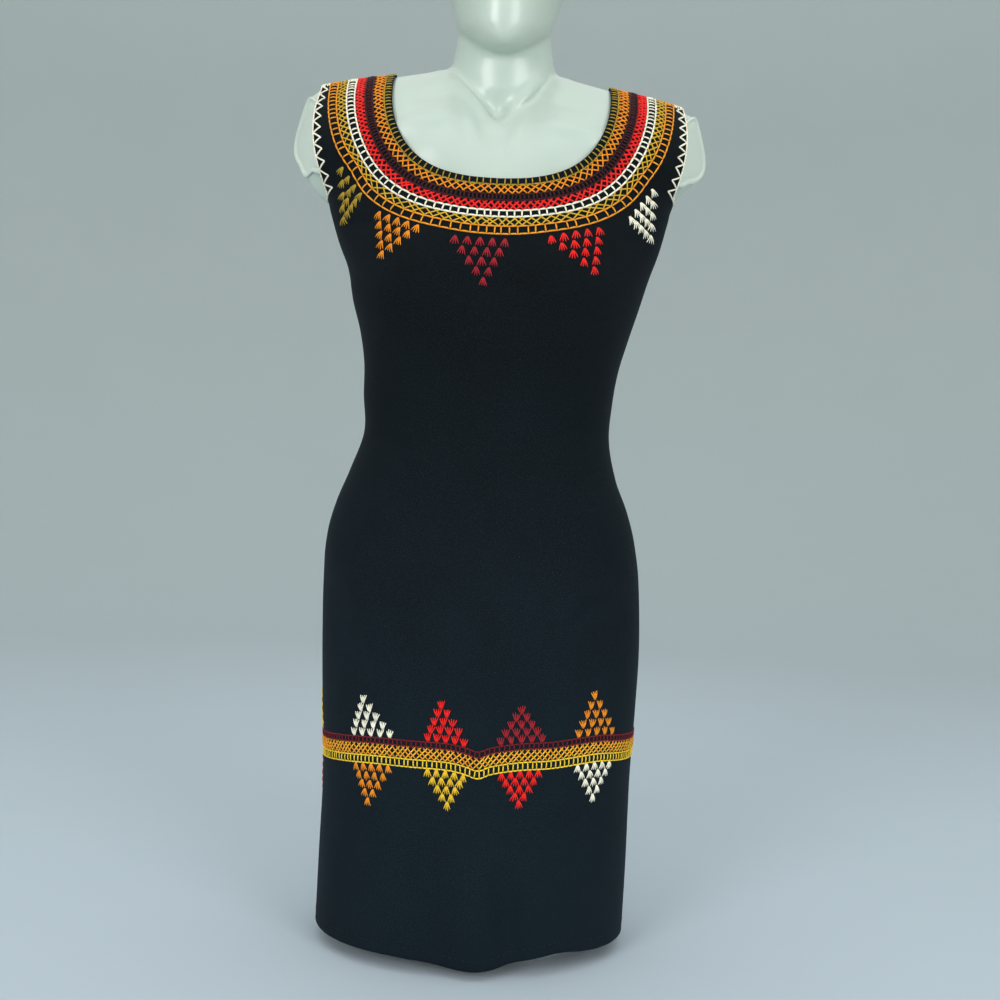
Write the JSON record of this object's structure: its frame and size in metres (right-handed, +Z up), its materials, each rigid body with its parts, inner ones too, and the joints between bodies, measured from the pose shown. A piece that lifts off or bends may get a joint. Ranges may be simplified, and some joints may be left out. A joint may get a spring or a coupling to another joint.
{
  "type": "embroidered sleeveless sheath dress on a limbless dress form",
  "caption": "Fitted sleeveless knee-length dress with a scoop neck and embroidered neck, armhole and skirt bands, worn by a limbless display form on a plate stand.",
  "frame": {"origin": "On the floor under the middle of the side seams, on the flat underside of the base plate.", "axes": "+Z up, the front of the dress faces -Y, +X is the wearer's left side."},
  "size_m": [0.4503, 0.265, 1.128],
  "materials": {
    "dress_cloth": "matt blue-black plain-woven cotton",
    "embroidery_thread": "twisted embroidery thread in orange, red, maroon, gold, olive and cream",
    "form_shell": "smooth glossy pale greenish-white moulded shell",
    "stand_metal": "satin steel",
    "base_enamel": "smooth off-white enamel"
  },
  "bodies": {
    "root": {"front_panel": "dress_cloth", "back_panel": "dress_cloth", "form_body": "form_shell", "form_cap_left": "form_shell", "form_cap_right": "form_shell", "stand_base": "base_enamel", "stand_foot": "stand_metal", "stand_pole": "stand_metal", "stand_socket": "stand_metal"}
  },
  "joints": []
}
